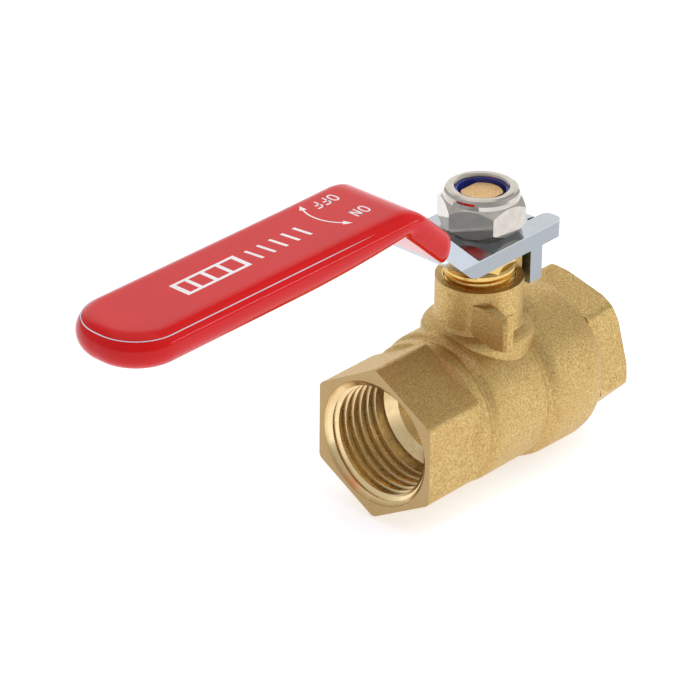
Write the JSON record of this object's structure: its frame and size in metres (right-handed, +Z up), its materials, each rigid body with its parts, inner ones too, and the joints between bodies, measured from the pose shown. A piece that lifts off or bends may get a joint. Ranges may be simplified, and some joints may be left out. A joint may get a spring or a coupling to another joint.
{
  "type": "ball valve",
  "caption": "Brass ball valve with female threads at both ends and a cranked steel lever in a red vinyl sleeve that turns a quarter turn.",
  "frame": {"origin": "centre of the inlet end face, on the pipe axis", "axes": "+X along the pipe axis from inlet to outlet, +Z up the stem, +Y to the left looking along +X"},
  "size_m": [0.1125, 0.029, 0.0599],
  "materials": {
    "forged_brass": "blasted forging, machined at the ends and in the bore",
    "gland_brass": "machined bright",
    "stem_brass": "turned",
    "ball_chrome": "polished chrome plate on brass",
    "ptfe": "smooth white PTFE",
    "nitrile": "moulded black rubber",
    "lever_plating": "bright zinc plate on steel strip",
    "nut_plating": "bright nickel plate on steel",
    "blue_nylon": "moulded blue nylon",
    "red_vinyl": "dipped glossy vinyl"
  },
  "bodies": {
    "casing": {"body": "forged_brass", "end_cap": "forged_brass", "seat_inlet": "ptfe", "seat_outlet": "ptfe", "thrust_washer": "ptfe", "packing_ring_lower": "ptfe", "packing_ring_upper": "ptfe", "packing_nut": "gland_brass"},
    "handle": {"stem": "stem_brass", "o_ring_lower": "nitrile", "o_ring_upper": "nitrile", "lever": "lever_plating", "grip": "red_vinyl", "lock_nut": "nut_plating", "lock_insert": "blue_nylon"},
    "ball": {"ball": "ball_chrome"}
  },
  "joints": [
    {"name": "lever_turn", "type": "hinge", "parent": "casing", "child": "handle", "pos_m": [0.0257, 0, 0], "axis": [0, 0, 1], "range_deg": [-90, 0]},
    {"name": "ball_turn", "type": "hinge", "parent": "casing", "child": "ball", "pos_m": [0.0257, 0, 0], "axis": [0, 0, 1], "range_deg": [-90, 0]}
  ],
  "couplings": [
    {"joint": "ball_turn", "follows": "lever_turn", "ratio": 1}
  ]
}
